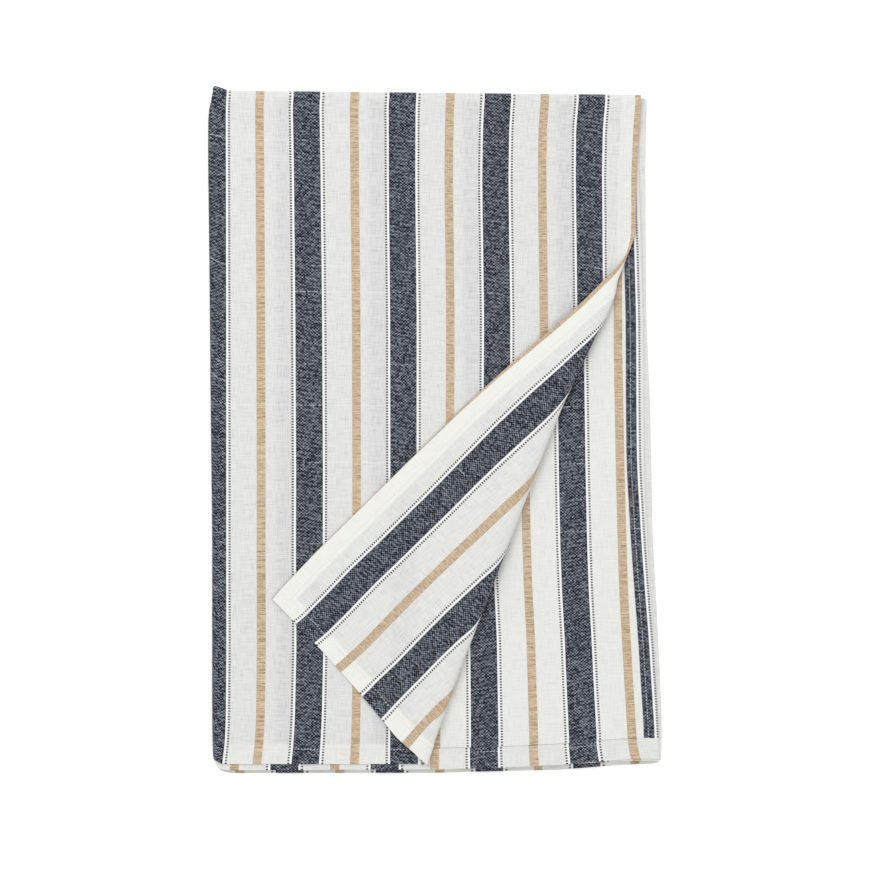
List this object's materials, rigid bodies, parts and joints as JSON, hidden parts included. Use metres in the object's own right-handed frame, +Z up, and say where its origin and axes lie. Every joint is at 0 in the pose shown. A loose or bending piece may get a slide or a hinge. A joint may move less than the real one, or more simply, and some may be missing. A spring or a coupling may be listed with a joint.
{
  "type": "folded striped tablecloth",
  "caption": "Hemmed cotton tablecloth with lengthwise stripes, folded into a flat stack with the lower right corner of its top layer turned back.",
  "frame": {"origin": "middle of the folded stack's outline, on the surface that it lies on", "axes": "+X across the stripes from the folded left edge to the open right edge, +Y along the stripes towards the top fold, +Z up"},
  "size_m": [0.4758, 0.7208, 0.0253],
  "materials": {
    "striped_cotton": "matt plain-weave cotton in ivory and white with dark blue and tan lengthwise stripes and fine dotted lines"
  },
  "bodies": {
    "root": {"tablecloth": "striped_cotton"}
  },
  "joints": []
}
